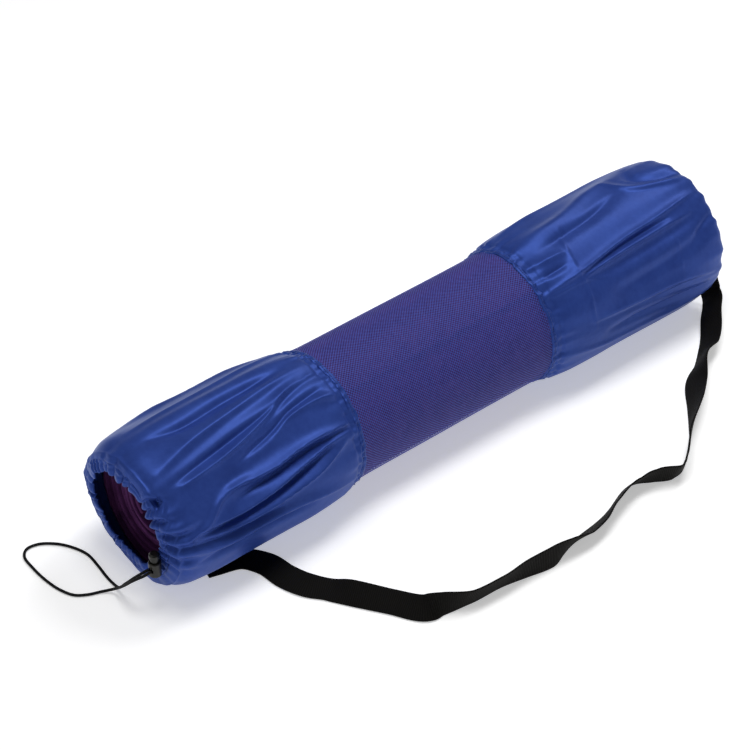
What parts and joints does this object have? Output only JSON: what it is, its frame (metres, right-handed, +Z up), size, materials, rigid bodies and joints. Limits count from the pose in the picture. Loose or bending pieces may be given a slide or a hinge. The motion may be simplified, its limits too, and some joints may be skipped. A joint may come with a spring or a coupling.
{
  "type": "yoga mat bag with rolled mat",
  "caption": "Drawstring tube bag with nylon ends, a mesh middle and a webbing shoulder strap, lying on its side round a rolled mat.",
  "frame": {"origin": "on the surface under the middle of the bag and its strap", "axes": "+X along the bag from the mouth to the closed end, +Z up, the strap lies on the -Y side"},
  "size_m": [0.7485, 0.3353, 0.1498],
  "materials": {
    "nylon": "royal blue satin nylon",
    "mesh": "violet blue knitted mesh",
    "foam": "matt dark purple foam",
    "webbing": "black ribbed webbing",
    "lock_plastic": "dark olive moulded plastic",
    "cord": "black braided cord"
  },
  "bodies": {
    "bag": {"front_sleeve": "nylon", "mouth_casing": "nylon", "front_seam": "nylon", "mesh_sleeve": "mesh", "rear_seam": "nylon", "rear_sleeve": "nylon", "end_panel": "nylon", "rolled_mat": "foam", "shoulder_strap": "webbing", "cord_lock_barrel": "lock_plastic", "drawcord": "cord"},
    "plunger": {"cord_lock_plunger": "lock_plastic"}
  },
  "joints": [
    {"name": "plunger_press", "type": "slide", "parent": "bag", "child": "plunger", "axis": [0, 0, -1], "range_m": [0, 0.004], "stiffness_N_per_m": 800, "springref_m": -0.002}
  ]
}
